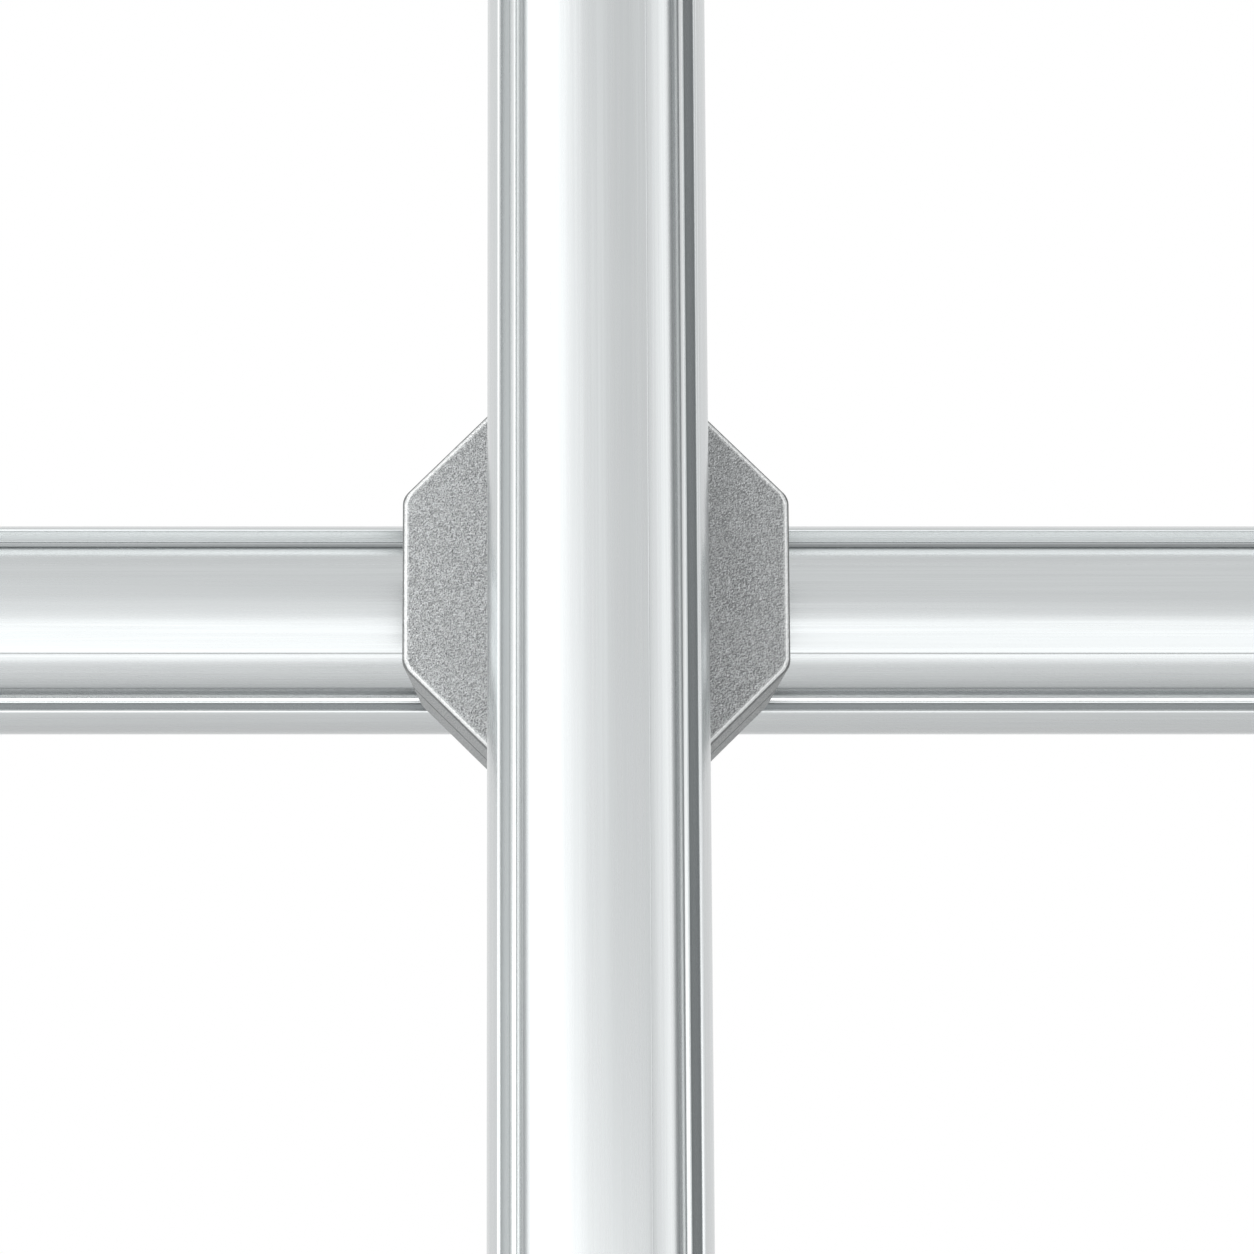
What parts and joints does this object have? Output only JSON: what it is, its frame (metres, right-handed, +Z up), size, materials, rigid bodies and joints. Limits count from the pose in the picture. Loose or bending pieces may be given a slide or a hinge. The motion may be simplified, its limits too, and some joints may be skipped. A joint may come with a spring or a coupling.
{
  "type": "lean tube joint",
  "caption": "Crossed lean tube joint: an octagonal die-cast clamp block grips the dovetail rails of an upright tube in front and a cross tube behind.",
  "frame": {"origin": "centre of the clamp block on its parting face, midway between the two tubes and on both of their centre planes", "axes": "+Z up along the upright tube, +X right along the cross tube, -Y towards the viewer, with the upright in front of the block and the cross tube behind it"},
  "size_m": [0.2, 0.0702, 0.2],
  "materials": {
    "tube": "extruded and satin anodised, natural",
    "casting": "die-cast and blasted, fine pebbled grain",
    "screw": "zinc plated steel",
    "dowel": "ground hardened steel"
  },
  "bodies": {
    "upright": {"upright_tube": "tube"},
    "block": {"front_half": "casting", "rear_half": "casting", "centre_screw": "screw", "centre_nut": "screw", "side_dowel": "dowel", "lower_dowel": "dowel"},
    "cross": {"cross_tube": "tube"},
    "front_clamp": {"front_jaw": "casting"},
    "rear_clamp": {"rear_jaw": "casting"},
    "upper_screw": {"front_screw_upper": "screw"},
    "lower_screw": {"front_screw_lower": "screw"},
    "left_screw": {"rear_screw_left": "screw"},
    "right_screw": {"rear_screw_right": "screw"}
  },
  "joints": [
    {"name": "block_slide", "type": "slide", "parent": "upright", "child": "block", "axis": [0, 0, 1], "range_m": [-0.07, 0.07]},
    {"name": "cross_slide", "type": "slide", "parent": "block", "child": "cross", "axis": [1, 0, 0], "range_m": [-0.07, 0.07]},
    {"name": "front_jaw_open", "type": "slide", "parent": "block", "child": "front_clamp", "axis": [1, 0, 0], "range_m": [0, 0.0024]},
    {"name": "rear_jaw_open", "type": "slide", "parent": "block", "child": "rear_clamp", "axis": [0, 0, 1], "range_m": [0, 0.0024]},
    {"name": "upper_screw_turn", "type": "hinge", "parent": "front_clamp", "child": "upper_screw", "pos_m": [0.018, -0.0035, 0.007], "axis": [1, 0, 0], "range_deg": [0, 1085]},
    {"name": "lower_screw_turn", "type": "hinge", "parent": "front_clamp", "child": "lower_screw", "pos_m": [0.018, -0.0035, -0.007], "axis": [1, 0, 0], "range_deg": [0, 1085]},
    {"name": "left_screw_turn", "type": "hinge", "parent": "rear_clamp", "child": "left_screw", "pos_m": [-0.007, 0.0035, 0.018], "axis": [0, 0, 1], "range_deg": [0, 1085]},
    {"name": "right_screw_turn", "type": "hinge", "parent": "rear_clamp", "child": "right_screw", "pos_m": [0.007, 0.0035, 0.018], "axis": [0, 0, 1], "range_deg": [0, 1085]}
  ],
  "couplings": [
    {"joint": "upper_screw_turn", "follows": "front_jaw_open", "rad_per_m": 7854},
    {"joint": "lower_screw_turn", "follows": "front_jaw_open", "rad_per_m": 7854},
    {"joint": "left_screw_turn", "follows": "rear_jaw_open", "rad_per_m": 7854},
    {"joint": "right_screw_turn", "follows": "rear_jaw_open", "rad_per_m": 7854}
  ]
}
